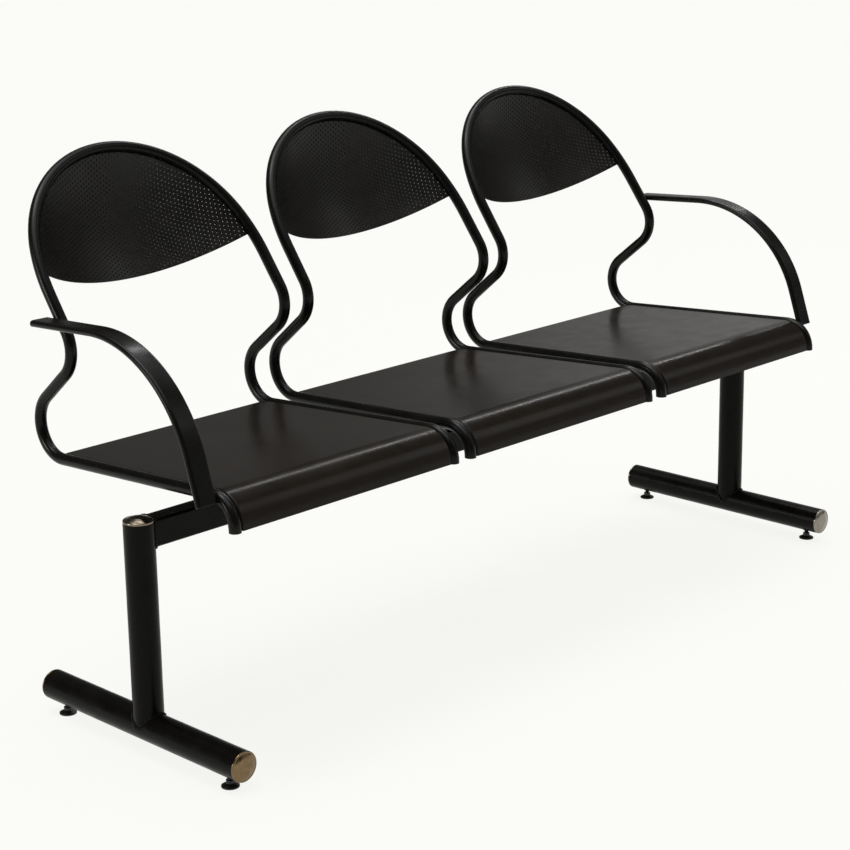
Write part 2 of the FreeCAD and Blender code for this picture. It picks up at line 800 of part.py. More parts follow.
def build_legs():
    for end, sign in ends:
        x = sign * size.post_spacing / 2
        post = leg_tube(f"{end}_post_whole", str(post_top_height - size.foot_axis_height))
        post.Placement = placed(vector(x, post_place, size.foot_axis_height))
        seat = foot_cylinder(f"{end}_post_cope", "Size.leg_diameter / 2 + Size.weld_fit", x)
        keep(f"{end}_post", difference(f"{end}_post_coped", post, seat))
        foot_outer = foot_cylinder(f"{end}_foot_outside", "Size.leg_diameter / 2", x)
        foot_bore = foot_cylinder(f"{end}_foot_bore", "Size.leg_diameter / 2 - Size.leg_wall", x)
        foot = difference(f"{end}_foot_whole", foot_outer, foot_bore)
        holes = []
        for name, hole_sign, place in leveller_places():
            if hole_sign == sign:
                hole = cylinder(f"{name}_foot_hole", "Size.insert_diameter / 2 + Size.insert_fit",
                                "Size.foot_axis_height")
                hole.Placement = placed(place)
                holes.append(hole)
        drills = doc.addObject("Part::Compound", f"{end}_foot_holes")
        drills.Links = holes
        keep(f"{end}_foot_tube", difference(f"{end}_foot_drilled", foot, drills))


# Chrome caps: a domed disc with a rim, on a hollow spigot that fits the tube's bore

def cap(name, rim, dome):
    body = doc.addObject("PartDesign::Body", f"{name}_body")
    sketch = new_sketch(body, f"{name}_outline", "XZ_Plane")
    radius = "Size.leg_diameter / 2"
    spigot = "Size.leg_diameter / 2 - Size.leg_wall - Size.cap_fit"
    hollow = f"{spigot} - Size.cap_spigot_wall"
    low = "-Size.cap_spigot_depth"
    outline(sketch, (("0", "0"), (hollow, "0"), (hollow, low), (spigot, low), (spigot, "0"),
                     (radius, "0"), (radius, rim), ("0", rim)))
    feature = body.newObject("PartDesign::Revolution", f"{name}_turned")
    feature.Profile = sketch
    feature.ReferenceAxis = (sketch, ["V_Axis"])
    feature.Angle = 360
    crown_radius = f"(({radius}) ^ 2 + ({dome}) ^ 2) / (2 * ({dome}))"
    ball = bind(doc.addObject("Part::Sphere", f"{name}_ball"), Radius=crown_radius)
    rim_height = float(size.evalExpression(rim))
    dome_height = float(size.evalExpression(dome))
    crown = float(size.evalExpression(crown_radius))
    ball.Placement = placed(vector(0, 0, rim_height + dome_height - crown))
    block = cylinder(f"{name}_block", radius, dome)
    block.Placement = placed(vector(0, 0, rim_height))
    top = overlap(f"{name}_dome", ball, block)
    whole = doc.addObject("Part::Fuse", f"{name}_whole")
    whole.Base = body
    whole.Tool = top
    return whole


def build_caps():
    for end, sign in ends:
        x = sign * size.post_spacing / 2
        top = cap(f"{end}_post_top", "Size.post_cap_rim", "Size.post_cap_dome")
        keep(f"{end}_post_cap", top, placed(vector(x, post_place, post_top_height)))
        front = cap(f"{end}_foot_front", "Size.cap_rim", "Size.cap_dome")
        front_spot = vector(x, post_place - size.foot_front_length, size.foot_axis_height)
        keep(f"{end}_front_foot_cap", front, placed(front_spot, turned(X_AXIS, 90)))
        rear = cap(f"{end}_foot_rear", "Size.cap_rim", "Size.cap_dome")
        rear_spot = vector(x, post_place + size.foot_rear_length, size.foot_axis_height)
        keep(f"{end}_rear_foot_cap", rear, placed(rear_spot, turned(X_AXIS, -90)))


# Levellers: a threaded insert in the foot, a stud screwed into it, a pad under the stud

def build_levellers():
    foot_bottom = size.foot_axis_height - leg_radius
    stud_radius = "Size.stud_diameter / 2"
    inserts = []
    for name, sign, place in leveller_places():
        insert_outer = cylinder(f"{name}_insert_outside", "Size.insert_diameter / 2",
                                "Size.insert_length")
        insert_bore = cylinder(f"{name}_insert_bore", f"{stud_radius} + Size.stud_fit",
                               "Size.insert_length")
        insert = difference(f"{name}_insert", insert_outer, insert_bore)
        insert.Placement = placed(place + vector(0, 0, foot_bottom))
        inserts.append(insert)
        stud = turned_piece(f"{name}_stud", (
            ("0", "Size.pad_floor"), (stud_radius, "Size.pad_floor"),
            (stud_radius, "Size.pad_floor + Size.stud_length"),
            ("0", "Size.pad_floor + Size.stud_length")))
        keep(f"{name}_leveller_stud", stud, placed(place))
        socket = f"{stud_radius} + Size.stud_fit"
        foot_pad = turned_piece(f"{name}_pad", (
            ("0", "0"), ("Size.pad_diameter / 2", "0"), ("Size.pad_diameter / 2", "Size.pad_rim"),
            ("Size.pad_top_diameter / 2", "Size.pad_neck_height"),
            ("Size.pad_top_diameter / 2", "Size.pad_height"), (socket, "Size.pad_height"),
            (socket, "Size.pad_floor"), ("0", "Size.pad_floor")))
        keep(f"{name}_leveller_pad", foot_pad, placed(place))
    keep_group("foot_inserts", inserts)


# Armrests: flat oval tubes beside the outer rails, rising a little and then curving down in front

def stadium(centre, across, up, width, thick):
    half_flat = across * ((width - thick) / 2)
    half_thick = up * (thick / 2)
    nose = across * (width / 2)
    corners = [centre + half_flat + half_thick, centre - half_flat + half_thick,
               centre - half_flat - half_thick, centre + half_flat - half_thick]
    return Part.Wire([
        Part.LineSegment(corners[0], corners[1]).toShape(),
        Part.Arc(corners[1], centre - nose, corners[2]).toShape(),
        Part.LineSegment(corners[2], corners[3]).toShape(),
        Part.Arc(corners[3], centre + nose, corners[0]).toShape()])


def arm_path():
    # From beside the hoop's base to beside the seat rail, with two straight runs as long as that takes
    start = vector(size.arm_rear_overhang / cosine(toe), size.arm_rear_rise, 0)
    front = -(size.hoop_base_reach + size.rail_front_reach - size.arm_front_setback) / cosine(toe)
    rail_height = seat_point.y - (front - seat_point.x) * math.tan(math.radians(rise))
    finish = vector(front, rail_height - size.arm_front_drop, 0)
    heading = 180 - size.arm_rise_angle
    bend_alone = PlanePath(start, heading)
    bend_alone.bend(size.arm_bend_radius, size.arm_bend_angle)
    rear_way = heading_vector(heading)
    front_way = heading_vector(bend_alone.heading)
    rest = finish - bend_alone.point
    area = rear_way.cross(front_way).z
    path = PlanePath(start, heading)
    path.run(rest.cross(front_way).z / area)
    path.bend(size.arm_bend_radius, size.arm_bend_angle)
    path.run(rear_way.cross(rest).z / area)
    return path


def arm_tube(name, path, place, across, width, thick):
    start, end = (place(point) for point in path.pieces[0])
    up = across.cross(end - start).normalize()
    section = doc.addObject("Part::Feature", f"{name}_section")
    section.Shape = stadium(start, across, up, width, thick)
    return sweep(name, section, path_object(f"{name}_path", edges_of(path.pieces, place)))


def arm_plug(name, centre, across, up, outward):
    width = size.arm_width
    thick = size.arm_thickness
    shank_less = 2 * (size.arm_wall + size.plug_fit)
    flange = Part.Face(stadium(centre, across, up, width, thick)).extrude(outward * size.plug_flange)
    shank_wire = stadium(centre, across, up, width - shank_less, thick - shank_less)
    shank = Part.Face(shank_wire).extrude(outward * -size.plug_depth)
    plug = doc.addObject("Part::Feature", name)
    plug.Shape = flange.fuse(shank).removeSplitter()
    return plug


def build_armrests():
    path = arm_path()
    outward_place = frame_radius + size.weld_fit + size.arm_width / 2
    plugs = []
    for (end, sign), offset in zip(ends, (-size.seat_pitch, size.seat_pitch)):
        def place(point):
            return on_rail_plane(sign, outward_place)(point) + vector(offset, 0, 0)

        across = vector(cosine(toe), sign * sine(toe), 0)
        outside = arm_tube(f"{end}_arm_outside", path, place, across,
                           size.arm_width, size.arm_thickness)
        bore = arm_tube(f"{end}_arm_bore", path, place, across, size.arm_width - 2 * size.arm_wall,
                        size.arm_thickness - 2 * size.arm_wall)
        keep(f"{end}_armrest", difference(f"{end}_arm_tube", outside, bore))
        for where, piece, rule in (("rear", path.pieces[0], 1), ("front", path.pieces[-1], -1)):
            near, far = (piece[0], piece[-1]) if rule > 0 else (piece[-1], piece[0])
            outward = (place(near) - place(far)).normalize()
            up = outward.cross(across).normalize()
            plugs.append(arm_plug(f"{end}_{where}_arm_plug", place(near), across, up, outward))
    keep_group("armrest_plugs", plugs)


build_chairs()
build_fasteners()
build_frame_plugs()
build_beam()
build_legs()
build_caps()
build_levellers()
build_armrests()
doc.recompute()

# Nothing is written unless every object was worked out and every sub-part is sound

failed = [item.Label for item in doc.Objects if {"Invalid", "Error"} & set(item.State)]
unsound = [label for label, item in sub_parts.items()
           if item.Shape.isNull() or not item.Shape.isValid()]
if failed or unsound:
    raise RuntimeError(f"failed: {failed}; unsound: {unsound}")

for label, item in sub_parts.items():
    item.Shape.exportStep(f"parts/{label}.step")
    solids = len(item.Shape.Solids)
    print(f"{label}: {solids} solid(s), {item.Shape.Volume:.0f} mm3")
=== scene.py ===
import json
import math

import bpy
import numpy as np
from mathutils import Matrix, Vector


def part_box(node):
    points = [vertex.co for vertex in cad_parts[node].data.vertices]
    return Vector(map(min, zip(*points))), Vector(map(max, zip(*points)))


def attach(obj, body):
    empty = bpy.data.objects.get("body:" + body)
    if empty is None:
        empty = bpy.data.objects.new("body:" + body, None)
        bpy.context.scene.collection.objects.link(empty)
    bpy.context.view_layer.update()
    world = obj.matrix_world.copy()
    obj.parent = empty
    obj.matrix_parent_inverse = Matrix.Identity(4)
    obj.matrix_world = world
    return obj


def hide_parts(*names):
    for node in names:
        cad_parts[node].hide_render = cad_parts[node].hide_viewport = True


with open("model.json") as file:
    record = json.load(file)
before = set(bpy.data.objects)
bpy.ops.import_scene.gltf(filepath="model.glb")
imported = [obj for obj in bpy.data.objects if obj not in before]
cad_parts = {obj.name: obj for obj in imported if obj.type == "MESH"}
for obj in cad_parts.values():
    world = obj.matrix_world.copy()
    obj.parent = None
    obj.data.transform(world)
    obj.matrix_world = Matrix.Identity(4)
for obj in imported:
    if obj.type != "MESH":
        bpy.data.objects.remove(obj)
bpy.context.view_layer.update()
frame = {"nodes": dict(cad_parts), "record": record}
print("frame loaded:", len(frame["nodes"]), "nodes")

mm = 0.001


# Node trees

def toLinear(hexColour):
    # each sRGB channel over 255; up to 0.04045 divided by 12.92, above it ((c + 0.055) / 1.055) to the 2.4
    srgb = np.array([int(hexColour[i:i + 2], 16) for i in (1, 3, 5)]) / 255
    linear = np.where(srgb <= 0.04045, srgb / 12.92, ((srgb + 0.055) / 1.055) ** 2.4)
    return (*linear.tolist(), 1.0)


def addNode(tree, kind, options=None, values=None, links=None):
    # options are the node's own settings, values and links belong to its inputs
    node = tree.nodes.new(kind)
    for name, value in (options or {}).items():
        setattr(node, name, value)
    for name, value in (values or {}).items():
        node.inputs[name].default_value = value
    for name, socket in (links or {}).items():
        tree.links.new(socket, node.inputs[name])
    return node


def emptyTree(owner):
    owner.use_nodes = True
    owner.node_tree.nodes.clear()
    return owner.node_tree


# Finishes. Patterns hold a size in millimetres and a detail, bumps a depth in millimetres.
# The grain of zinc and nylon is finer on the real pieces, and is drawn coarse enough to show

noiseSpan = {"From Min": 0.35, "From Max": 0.65}  # most of a noise pattern lies between these

# Black powder coat on steel, sprayed dry and baked: a soft gloss over a fine orange peel
frameCoat = {
    "tones": ("#090908", "#0f0d0b"), "gloss": (0.21, 0.31), "shader": {"Specular IOR Level": 0.14},
    "patterns": {"cloud": (70.0, 2.0), "patches": (35.0, 3.0), "waves": (40.0, 1.0), "peel": (1.4, 1.0)},
    "bumps": {"waves": 0.02, "peel": 0.003},
}
legCoat = {
    "tones": ("#060605", "#0c0a07"), "gloss": (0.24, 0.36), "shader": {"Specular IOR Level": 0.08},
    "patterns": {"cloud": (70.0, 2.0), "patches": (35.0, 3.0), "waves": (60.0, 1.0), "peel": (1.6, 1.0)},
    "bumps": {"waves": 0.02, "peel": 0.008},
}
seatCoat = {
    "tones": ("#15120f", "#1f1a15"), "gloss": (0.19, 0.25), "shader": {"Specular IOR Level": 0.1},
    "patterns": {"cloud": (70.0, 2.0), "patches": (35.0, 3.0), "waves": (150.0, 1.0), "peel": (1.4, 1.0)},
    "bumps": {"waves": 0.04, "peel": 0.005},
}
panelCoat = {
    "tones": ("#171614", "#1d1b18"), "gloss": (0.31, 0.41), "shader": {"Specular IOR Level": 0.25},
    "patterns": {"cloud": (70.0, 2.0), "patches": (35.0, 3.0), "waves": (60.0, 1.0), "peel": (1.4, 1.0)},
    "bumps": {"waves": 0.03, "peel": 0.008},
}

# Chrome plate on pressed steel: mirror bright once, now browned with age, most at the left end's feet
chrome = {
    "tones": ("#7b6546", "#908a7e"), "gloss": (0.1, 0.22), "shader": {"Metallic": 1.0},
    "patterns": {"patches": (5.0, 4.0), "spots": (9.0, 4.0), "marks": (9.0, 2.0)},
    "bumps": {"marks": 0.05},
    "brownFrom": -0.8, "brownTo": 0.8, "cleanerWithHeight": 2.6, "spotShade": 0.78,
}

# Zinc plate gone dull and dark, on turned and headed steel
zincPlate = {
    "tones": ("#2e2e2d", "#454442"), "gloss": (0.28, 0.42), "shader": {"Metallic": 1.0},
    "patterns": {"cloud": (4.0, 3.0), "patches": (2.5, 3.0), "grain": (0.8, 2.0)},
    "bumps": {"grain": 0.01},
}

# Black moulded nylon: the even, slightly eroded surface of the mould
mouldedNylon = {
    "tones": ("#0b0b0a", "#121110"), "gloss": (0.42, 0.55), "shader": {},
    "patterns": {"cloud": (8.0, 2.0), "patches": (3.0, 2.0), "grain": (0.6, 1.0)},
    "bumps": {"grain": 0.015},
}


def newFinish(name, look):
    # two tones mixed by a cloudy pattern, a roughness that drifts in patches, and one bump upon another
    material = bpy.data.materials.new(name)
    tree = emptyTree(material)
    place = addNode(tree, "ShaderNodeTexCoord").outputs["Object"]
    noise = {}
    for label, (size, detail) in look["patterns"].items():
        values = {"Scale": 1 / (size * mm), "Detail": detail}
        noise[label] = addNode(tree, "ShaderNodeTexNoise", None, values, {"Vector": place}).outputs["Fac"]
    # a colour mix takes its factor at socket 0 and its colours at 6 and 7, and gives the result at 2
    tones = {6: toLinear(look["tones"][0]), 7: toLinear(look["tones"][1])}
    cloud = {0: noise["cloud"]} if "cloud" in noise else None
    mix = addNode(tree, "ShaderNodeMix", {"data_type": "RGBA"}, tones, cloud)
    low, high = look["gloss"]
    gloss = addNode(tree, "ShaderNodeMapRange", None, {**noiseSpan, "To Min": low, "To Max": high},
                    {"Value": noise["patches"]})
    links = {"Base Color": mix.outputs[2], "Roughness": gloss.outputs["Result"]}
    for label, depth in look["bumps"].items():
        below = {"Normal": links["Normal"]} if "Normal" in links else {}
        skin = addNode(tree, "ShaderNodeBump", None, {"Distance": depth * mm},
                       {"Height": noise[label], **below})
        links["Normal"] = skin.outputs["Normal"]
    shader = addNode(tree, "ShaderNodeBsdfPrincipled", None, look["shader"], links)
    addNode(tree, "ShaderNodeOutputMaterial", None, None, {"Surface": shader.outputs["BSDF"]})
    return {"material": material, "tree": tree, "place": place, "noise": noise, "mix": mix, "shader": shader}


def darken(finish, shade):
    # the shader's colour becomes the mixed tones times the shade
    tree = finish["tree"]
    darker = addNode(tree, "ShaderNodeVectorMath", {"operation": "SCALE"}, None,
                     {0: finish["mix"].outputs[2], "Scale": shade})
    tree.links.new(darker.outputs["Vector"], finish["shader"].inputs["Base Color"])


def ageChrome(finish, look):
    # age = x + height * cleanerWithHeight, brown where it is low and grey where it is high, spotted all over
    tree = finish["tree"]
    along = addNode(tree, "ShaderNodeSeparateXYZ", None, None, {"Vector": finish["place"]}).outputs
    age = addNode(tree, "ShaderNodeMath", {"operation": "MULTIPLY_ADD"}, {1: look["cleanerWithHeight"]},
                  {0: along["Z"], 2: along["X"]}).outputs["Value"]
    grey = addNode(tree, "ShaderNodeMapRange", None,
                   {"From Min": look["brownFrom"], "From Max": look["brownTo"]}, {"Value": age})
    tree.links.new(grey.outputs["Result"], finish["mix"].inputs[0])
    spots = addNode(tree, "ShaderNodeMapRange", None, {**noiseSpan, "To Min": look["spotShade"]},
                    {"Value": finish["noise"]["spots"]})
    darken(finish, spots.outputs["Result"])


finishes = {
    "frame_powder_coat": newFinish("black powder coat, frames", frameCoat),
    "leg_powder_coat": newFinish("black powder coat, legs", legCoat),
    "seat_powder_coat": newFinish("black powder coat, seats", seatCoat),
    "panel_powder_coat": newFinish("black powder coat, back panels", panelCoat),
    "chrome_plate": newFinish("chrome plate", chrome),
    "zinc_plated_steel": newFinish("zinc plated steel", zincPlate),
    "black_plastic": newFinish("moulded black nylon", mouldedNylon),
}
ageChrome(finishes["chrome_plate"], chrome)


def setMaterial(piece, slot):
    piece.data.materials.clear()
    piece.data.materials.append(finishes[slot]["material"])


for part in frame["record"]["subparts"]:
    setMaterial(frame["nodes"][part["node"]], part["material_slot"])
print("materials set")


# Pieces from numpy arrays, in millimetres

def newPiece(name, points, faces, slot, body, sharpAngle):
    mesh = bpy.data.meshes.new(name)
    mesh.from_pydata(points * mm, [], faces)
    mesh.validate()
    mesh.shade_smooth()
    mesh.set_sharp_from_angle(angle=math.radians(sharpAngle))
    piece = bpy.data.objects.new(name, mesh)
    bpy.context.scene.collection.objects.link(piece)
    setMaterial(piece, slot)
    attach(piece, body)
    return piece


def nodeBox(node):
    low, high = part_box(node)
    return np.array(low) / mm, np.array(high) / mm


def unit(vectors):
    return vectors / np.linalg.norm(vectors, axis=1)[:, None]


def ringsClosed(body, low, high):
    # a grid of rings, each joined to the next, with a point on the axis to close the ends
    steps, sides = body.shape[:2]
    points = np.concatenate([body.reshape(-1, 3), [[0, 0, low], [0, 0, high]]])
    grid = np.arange(steps * sides).reshape(steps, sides)
    here, ahead = grid[:-1], grid[1:]
    quads = np.stack([here, np.roll(here, -1, 1), np.roll(ahead, -1, 1), ahead], 2).reshape(-1, 4)
    bottom = np.stack([grid[0], np.full(sides, grid.size), np.roll(grid[0], -1)], 1)
    top = np.stack([np.roll(grid[-1], -1), np.full(sides, grid.size + 1), grid[-1]], 1)
    return points, quads.tolist() + bottom.tolist() + top.tolist()


# Sizes that several pieces share, in millimetres and degrees

layout = {
    "seatPitch": 500.0, "postSpacing": 1510.0, "postPlace": -79.392, "legRadius": 24.15, "footAxis": 41.2,
    "hoopReach": 198.4, "hoopHeight": 627.7, "lean": 35.8, "toe": 1.08,
    "hoopHalfWidth": 222.5, "hoopTopInset": 3.3, "hoopSideRun": 65.0, "hoopShoulder": 294.0,
}
seats = {"left": -layout["seatPitch"], "middle": 0.0, "right": layout["seatPitch"]}


# Perforated back panels: round holes on a triangular grid in dished sheet

perforated = {
    "sheet": 1.2, "dishDepth": 82.0,
    "holePitch": 7.0, "holeDiameter": 0.85, "turn": -3.0, "holeSides": 12,
    # the ring that slopes down to each hole, from the rim's radius to the floor's, its depth, and the
    # strength of the painted shade that darkens it
    "sunkRim": 2.0, "sunkFloor": 1.0, "sunkDepth": 0.25, "sunkPaintedShade": 0.15,
    # the lower edge, how far holes stay above it, and how far up its border is drawn down to it
    "lowerEdge": 105.5, "edgeAngle": 5.6, "edgeMargin": 3.4, "edgeBand": 15.4,
    # how far holes and the edge's border stay inside the hoop's tube
    "underTube": 3.6, "rimClear": 1.0, "sharpAngle": 10.0,
}
lean, turn = math.radians(layout["lean"]), math.radians(perforated["turn"])
panelBase = layout["postPlace"] + layout["hoopReach"]
dishRadius = layout["hoopHalfWidth"] - layout["hoopTopInset"]
columnPitch = perforated["holePitch"] * math.sqrt(3) / 2
mergeDigits = 2  # corners that agree to a hundredth of a millimetre become one point


def hoopCentreRise():
    # the arcs of the hoop are tangent: shoulder arc, then top arc about a centre on the middle line
    toe = math.radians(layout["toe"])
    inPlane = math.atan(math.tan(lean) / math.cos(toe))
    closing = math.asin(math.sin(toe) * math.sin(inPlane))
    drop = layout["hoopShoulder"] - dishRadius
    inset = (layout["hoopShoulder"] * math.cos(closing) - layout["hoopHalfWidth"]
             + layout["hoopSideRun"] * math.sin(closing))
    start = math.acos(inset / drop)
    return (layout["hoopSideRun"] * math.cos(closing) - layout["hoopShoulder"] * math.sin(closing)
            + drop * math.sin(start))


dishRise = hoopCentreRise()
ball = (dishRadius ** 2 + perforated["dishDepth"] ** 2) / (2 * perforated["dishDepth"])


def depthAt(x, s):
    # a sphere through the hoop: n = d - R + sqrt(R^2 - x^2 - (s - c)^2)
    return perforated["dishDepth"] - ball + np.sqrt(ball ** 2 - x ** 2 - (s - dishRise) ** 2)


def edgeAt(x, s):
    # along the plane that leaves the hoop's plane at the lower edge and tilts down behind it
    return perforated["lowerEdge"] - np.tan(np.radians(perforated["edgeAngle"])) * depthAt(x, s)


def holeCentres():
    # the grid (i * a, (j + half of odd i) * p) with a = p * sqrt(3) / 2, turned, and cut to the panel
    reach = math.ceil(dishRadius / columnPitch) + 1
    column, row = np.meshgrid(np.arange(-reach, reach + 1), np.arange(-reach, reach + 1), indexing="ij")
    gridX = (column * columnPitch).ravel()
    gridS = ((row + 0.5 * (column % 2)) * perforated["holePitch"]).ravel()
    x = gridX * math.cos(turn) - gridS * math.sin(turn)
    s = gridX * math.sin(turn) + gridS * math.cos(turn) + dishRise
    inside = np.hypot(x, s - dishRise) < dishRadius - perforated["underTube"]
    x, s = x[inside], s[inside]
    above = s > edgeAt(x, s) + perforated["edgeMargin"]
    return x[above], s[above]


def perforatedDish():
    # each cell is a hexagon about a hole, and on the near side it slopes down to the hole by sunkDepth
    # the far side is the same point pushed out from the sphere's centre by the sheet's thickness
    x, s = holeCentres()
    sides = perforated["holeSides"]
    t = np.arange(sides) * 2 * np.pi / sides
    pitch = perforated["holePitch"]
    reach = np.where(np.arange(sides) % 2 == 0, pitch / math.sqrt(3), pitch / 2)
    outerX = x[:, None] + reach * np.cos(t + turn)
    outerS = s[:, None] + reach * np.sin(t + turn)
    radii = np.array([perforated["holeDiameter"] / 2, perforated["sunkRim"], perforated["sunkFloor"]])
    ringX = x[:, None] + radii[:, None, None] * np.cos(t + turn)
    ringS = s[:, None] + radii[:, None, None] * np.sin(t + turn)

    # corners that neighbours share become one point
    corners = np.round(np.stack([outerX.ravel(), outerS.ravel()], 1), mergeDigits)
    corners, shared = np.unique(corners, axis=0, return_inverse=True)
    shared = shared.reshape(outerX.shape)
    holes, sunkRim, sunkFloor = len(corners) + np.arange(ringX.size).reshape(ringX.shape)
    ahead = np.roll(np.arange(sides), -1)

    # an edge used by one cell alone is on the border of the sheet
    pairs = np.stack([shared.ravel(), shared[:, ahead].ravel()], 1)
    edge, uses = np.unique(np.sort(pairs, axis=1), axis=0, return_inverse=True, return_counts=True)[1:]
    border = pairs[uses[edge.ravel()] == 1]

    # the border along the lower edge is drawn down to the edge line
    onBorder = np.zeros(len(corners), bool)
    onBorder[border.ravel()] = True
    nearEdge = corners[:, 1] < edgeAt(corners[:, 0], corners[:, 1]) + perforated["edgeBand"]
    clear = np.hypot(corners[:, 0], corners[:, 1] - dishRise) < dishRadius - perforated["rimClear"]
    lowest = onBorder & nearEdge & clear
    corners[lowest, 1] = edgeAt(corners[lowest, 0], corners[lowest, 1])

    flat = np.concatenate([corners, np.stack([ringX.ravel(), ringS.ravel()], 1)])
    level = np.stack([flat[:, 0], flat[:, 1], depthAt(flat[:, 0], flat[:, 1])], 1)
    spoke = unit(level - np.array([0, dishRise, perforated["dishDepth"] - ball]))
    sunk = np.zeros(len(flat))
    sunk[holes] = sunk[sunkFloor] = perforated["sunkDepth"]
    near = level + spoke * sunk[:, None]
    # the far side has only the corners and the holes
    far = (level + spoke * perforated["sheet"])[:len(corners) + holes.size]
    total = len(flat)

    def band(outer, inner):
        return np.stack([outer, outer[:, ahead], inner[:, ahead], inner], 2).reshape(-1, 4)

    front = [band(shared, sunkRim), band(sunkRim, sunkFloor), band(sunkFloor, holes)]
    back = band(shared, holes)[:, ::-1] + total
    wall = band(holes, holes + total)
    rim = np.stack([border[:, 1], border[:, 0], border[:, 0] + total, border[:, 1] + total], 1)
    return np.concatenate([near, far]), np.concatenate([*front, back, wall, rim]), len(x)


def fromHoopPlane(local, shift):
    # x across, s up the leaning plane and n behind it, turned by the lean and set on the hoop's base
    x, s, n = local.T
    return np.stack([x + shift, panelBase + s * math.sin(lean) + n * math.cos(lean),
                     layout["hoopHeight"] + s * math.cos(lean) - n * math.sin(lean)], 1)


def distanceFromHole(tree, place):
    # the hole grid is two grids of rectangles, each wrapped to one cell, and the shorter distance counts
    up = (0, math.sin(lean), math.cos(lean))
    middle = panelBase * up[1] + layout["hoopHeight"] * up[2] + dishRise
    half = layout["seatPitch"] / 2 * mm
    across = addNode(tree, "ShaderNodeSeparateXYZ", None, None, {"Vector": place}).outputs["X"]
    x = addNode(tree, "ShaderNodeMath", {"operation": "WRAP"}, {1: half, 2: -half}, {0: across})
    rise = addNode(tree, "ShaderNodeVectorMath", {"operation": "DOT_PRODUCT"}, {1: up}, {0: place})
    s = addNode(tree, "ShaderNodeMath", {"operation": "SUBTRACT"}, {1: middle * mm},
                {0: rise.outputs["Value"]})
    flat = addNode(tree, "ShaderNodeCombineXYZ", None, None,
                   {"X": x.outputs["Value"], "Y": s.outputs["Value"]})
    grid = addNode(tree, "ShaderNodeVectorRotate", {"rotation_type": "Z_AXIS"}, {"Angle": -turn},
                   {"Vector": flat.outputs["Vector"]})
    # half of a cell each way, and any height, because the grid lies flat
    cell = (columnPitch * mm, perforated["holePitch"] / 2 * mm, 1.0)
    lengths = []
    for start in ((0.0, 0.0, 0.0), (cell[0], cell[1], 0.0)):
        moved = addNode(tree, "ShaderNodeVectorMath", {"operation": "ADD"}, {1: start},
                        {0: grid.outputs["Vector"]})
        wrapped = addNode(tree, "ShaderNodeVectorMath", {"operation": "WRAP"},
                          {1: cell, 2: tuple(-c for c in cell)}, {0: moved.outputs["Vector"]})
        length = addNode(tree, "ShaderNodeVectorMath", {"operation": "LENGTH"}, None,
                         {0: wrapped.outputs["Vector"]})
        lengths.append(length.outputs["Value"])
    return addNode(tree, "ShaderNodeMath", {"operation": "MINIMUM"}, None,
                   {0: lengths[0], 1: lengths[1]}).outputs["Value"]


def paintRingShade(finish, specular):
    # painted shade: the ring round each hole is drawn darker and less glossy, as if shaded in its hollow, at
    # full tone between the rings; the same painted shade shows on the flat far side of the sheet
    tree = finish["tree"]
    shade = addNode(tree, "ShaderNodeMapRange", None,
                    {"From Min": perforated["sunkFloor"] * mm, "From Max": perforated["sunkRim"] * mm,
                     "To Min": perforated["sunkPaintedShade"]},
                    {"Value": distanceFromHole(tree, finish["place"])}).outputs["Result"]
    darken(finish, shade)
    gloss = addNode(tree, "ShaderNodeMath", {"operation": "MULTIPLY"}, {1: specular}, {0: shade})
    tree.links.new(gloss.outputs["Value"], finish["shader"].inputs["Specular IOR Level"])


# painted shade round each hole of the back panels, in their coat's colour and gloss
paintRingShade(finishes["panel_powder_coat"], panelCoat["shader"]["Specular IOR Level"])
local, faces, holeCount = perforatedDish()
for seat, shift in seats.items():
    panel = newPiece(f"{seat}PerforatedPanel", fromHoopPlane(local, shift), faces.tolist(),
                     "panel_powder_coat", "bench", perforated["sharpAngle"])
    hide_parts(f"{seat}_back_panel")
print("back panels:", holeCount, "holes each")


# Weld beads round the joints of the legs: a low, rippled fillet

weld = {
    "size": 2.6, "ripple": 0.35, "rippleLength": 3.2,
    "driftShare": 0.4, "driftPaceShare": 0.37,  # a slower swelling over the ripple, as shares of it
    "saddleEase": 0.004,  # rounds the sharp turn of the seam at the foot's sides
    "steps": 360, "sides": 12, "sharpAngle": 60.0,
}
beam = {"depth": 36.0, "height": 44.0, "corner": 4.0}


def closedTube(path, first, second, radii):
    # point = path + radius * (cos t * first + sin t * second) for t round the section
    steps, turns = radii.shape
    t = np.arange(turns) * 2 * np.pi / turns
    ring = (path[:, None] + radii[..., None]
            * (np.cos(t)[None, :, None] * first[:, None] + np.sin(t)[None, :, None] * second[:, None]))
    here = np.arange(steps * turns).reshape(steps, turns)
    ahead = np.roll(here, -1, axis=0)
    faces = np.stack([here, np.roll(here, -1, 1), np.roll(ahead, -1, 1), ahead], 2).reshape(-1, 4)
    return ring.reshape(-1, 3), faces


def outwardFaces(points, faces):
    # a closed surface whose volume comes out negative is turned inside out
    a, b, c, d = (points[faces[:, i]] - points.mean(0) for i in range(4))
    volume = (np.einsum("ij,ij->", a, np.cross(b, c)) + np.einsum("ij,ij->", a, np.cross(c, d))) / 6
    return faces[:, ::-1] if volume < 0 else faces


def weldBead(path, firstNormal, secondNormal):
    # the bead's section is a circle about the seam, swollen in time with the torch's steps
    forward = unit(np.roll(path, -1, 0) - np.roll(path, 1, 0))
    outward = unit(firstNormal + secondNormal)
    across = np.cross(forward, outward)
    outward = unit(np.cross(across, forward))
    stride = np.linalg.norm(np.roll(path, -1, 0) - path, axis=1)
    along = np.concatenate([[0], np.cumsum(stride)[:-1]])
    ripples = max(1, round(stride.sum() / weld["rippleLength"]))
    phase = along / stride.sum() * ripples * 2 * np.pi
    swell = (weld["size"] + weld["ripple"] * np.sin(phase)
             + weld["driftShare"] * weld["ripple"] * np.sin(phase * weld["driftPaceShare"]))
    radii = np.repeat(swell[:, None], weld["sides"], 1)
    points, faces = closedTube(path, unit(across), outward, radii)
    return points, outwardFaces(points, faces)


